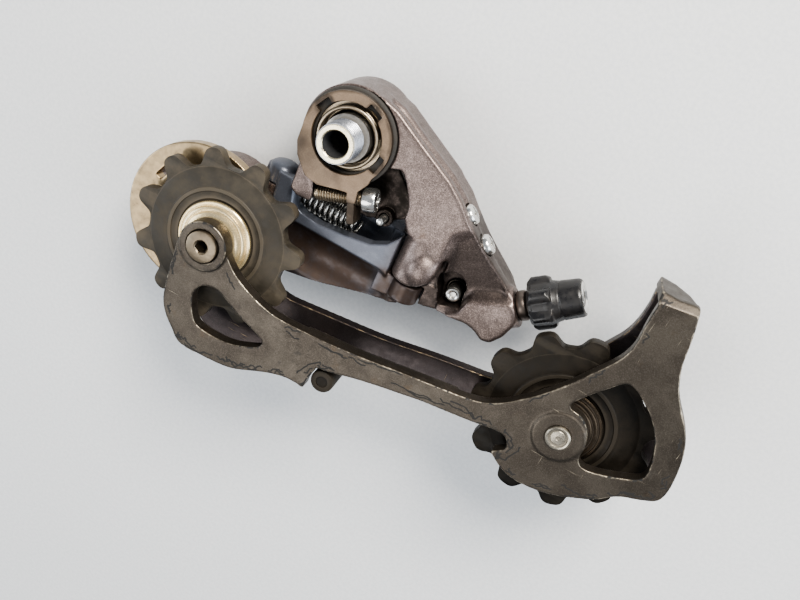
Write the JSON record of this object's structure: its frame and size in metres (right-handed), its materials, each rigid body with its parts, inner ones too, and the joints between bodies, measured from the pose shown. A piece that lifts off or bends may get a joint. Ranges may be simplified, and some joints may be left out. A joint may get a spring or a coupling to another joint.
{
  "type": "rear derailleur",
  "caption": "Bicycle rear derailleur with a sprung upper knuckle, parallelogram links, lower knuckle and a long pulley cage with toothed guide and tension pulleys.",
  "frame": {"origin": "on the mounting bolt axis, in the plane where the stopper plate seats on the frame hanger", "axes": "+Z along the mounting bolt axis towards the wheel (the bolt threads point this way), +X from the guide pulley to the tension pulley at rest, +Y completing a right-handed frame, towards the frame hanger side"},
  "size_m": [0.1559, 0.0801, 0.0397],
  "materials": {
    "plate_anodised": "anodised, worn on the edges",
    "plate_worn": "anodised, rubbed bare on the disc",
    "knuckle_paint": "metallic paint, speckled",
    "link_paint": "satin metallic paint",
    "steel": "machined, light grime",
    "bright_steel": "bright plated",
    "bronze_steel": "worn finish",
    "pulley_plastic": "matte, greasy",
    "cap_metal": "bright, tinted",
    "black_plastic": "matte",
    "seal_rubber": "matte"
  },
  "bodies": {
    "hanger_mount": {"mounting_bolt": "bright_steel", "stopper_plate": "bronze_steel", "snap_ring": "cap_metal"},
    "tension_screw_b": {"b_tension_screw": "steel"},
    "b_knuckle": {"b_knuckle_body": "knuckle_paint", "b_dust_seal": "seal_rubber", "b_spring": "steel", "link_pin_b_inner": "steel", "link_pin_b_outer": "steel", "spring_hook_pin": "steel", "pocket_pin": "bright_steel"},
    "high_limit": {"high_limit_screw": "steel"},
    "low_limit": {"low_limit_screw": "steel"},
    "barrel_adjuster": {"adjuster_stem": "steel", "adjuster_knob": "black_plastic", "adjuster_insert": "bright_steel"},
    "outer_link_body": {"outer_link": "link_paint", "return_spring": "steel", "cable_clamp_washer": "steel"},
    "clamp_bolt": {"cable_clamp_bolt": "steel"},
    "inner_link_body": {"inner_link": "link_paint"},
    "p_knuckle": {"p_knuckle_body": "knuckle_paint", "p_spring": "steel", "p_seal": "seal_rubber", "link_pin_p_inner": "steel", "link_pin_p_outer": "steel"},
    "cage": {"outer_cage_plate": "plate_worn", "inner_cage_plate": "plate_anodised", "p_axle": "steel", "cage_stop_pin": "steel", "cage_spacer": "black_plastic", "guide_bolt": "steel", "guide_bushing": "steel", "guide_cap_inner": "cap_metal", "guide_cap_outer": "cap_metal", "tension_bolt": "bright_steel", "tension_bushing": "steel", "tension_cap_inner": "cap_metal", "tension_cap_outer": "cap_metal"},
    "guide_wheel": {"guide_pulley": "pulley_plastic"},
    "tension_wheel": {"tension_pulley": "pulley_plastic"}
  },
  "joints": [
    {"name": "b_pivot", "type": "hinge", "parent": "hanger_mount", "child": "b_knuckle", "pos_m": [0, 0, -0.008], "axis": [0, 0, 1], "range_deg": [-12, 0], "stiffness_Nm_per_rad": 1, "springref_deg": 28.65},
    {"name": "b_tension_screw_turn", "type": "hinge", "parent": "hanger_mount", "child": "tension_screw_b", "pos_m": [0.004, -0.0148, -0.004], "axis": [0.9417, 0.3363, 0], "continuous": true},
    {"name": "shift_swing", "type": "hinge", "parent": "b_knuckle", "child": "outer_link_body", "pos_m": [0.0235, -0.024, -0.0169], "axis": [0, 1, 0], "range_deg": [0, 40], "stiffness_Nm_per_rad": 0.8, "springref_deg": -28.65},
    {"name": "inner_link_swing", "type": "hinge", "parent": "b_knuckle", "child": "inner_link_body", "pos_m": [0.0275, -0.031, -0.0072], "axis": [0, 1, 0], "range_deg": [0, 40]},
    {"name": "p_knuckle_swing", "type": "hinge", "parent": "outer_link_body", "child": "p_knuckle", "pos_m": [-0.0185, -0.029, -0.0201], "axis": [0, 1, 0], "range_deg": [-40, 0]},
    {"name": "cage_pivot", "type": "hinge", "parent": "p_knuckle", "child": "cage", "pos_m": [-0.0298, -0.0387, -0.01], "axis": [0, 0, -1], "range_deg": [0, 100], "stiffness_Nm_per_rad": 0.25, "springref_deg": -68.75},
    {"name": "guide_pulley_spin", "type": "hinge", "parent": "cage", "child": "guide_wheel", "pos_m": [-0.0208, -0.0382, 0.0025], "axis": [0, 0, 1], "continuous": true},
    {"name": "tension_pulley_spin", "type": "hinge", "parent": "cage", "child": "tension_wheel", "pos_m": [0.0778, -0.0382, 0.0025], "axis": [0, 0, 1], "continuous": true},
    {"name": "high_limit_turn", "type": "hinge", "parent": "b_knuckle", "child": "high_limit", "pos_m": [0.03522, -0.00424, -0.008], "axis": [0.6358, 0.7718, 0], "continuous": true},
    {"name": "low_limit_turn", "type": "hinge", "parent": "b_knuckle", "child": "low_limit", "pos_m": [0.04207, -0.00922, -0.008], "axis": [0.6358, 0.7718, 0], "continuous": true},
    {"name": "barrel_adjuster_turn", "type": "hinge", "parent": "b_knuckle", "child": "barrel_adjuster", "pos_m": [0.061, -0.01675, -0.009], "axis": [0.7876, 0.6162, 0], "continuous": true},
    {"name": "cable_clamp_turn", "type": "hinge", "parent": "outer_link_body", "child": "clamp_bolt", "pos_m": [0.00605, -0.03, -0.01823], "axis": [-0.076, 0, 0.9971], "continuous": true}
  ],
  "couplings": [
    {"joint": "inner_link_swing", "follows": "shift_swing", "ratio": 1},
    {"joint": "p_knuckle_swing", "follows": "shift_swing", "ratio": -1}
  ]
}
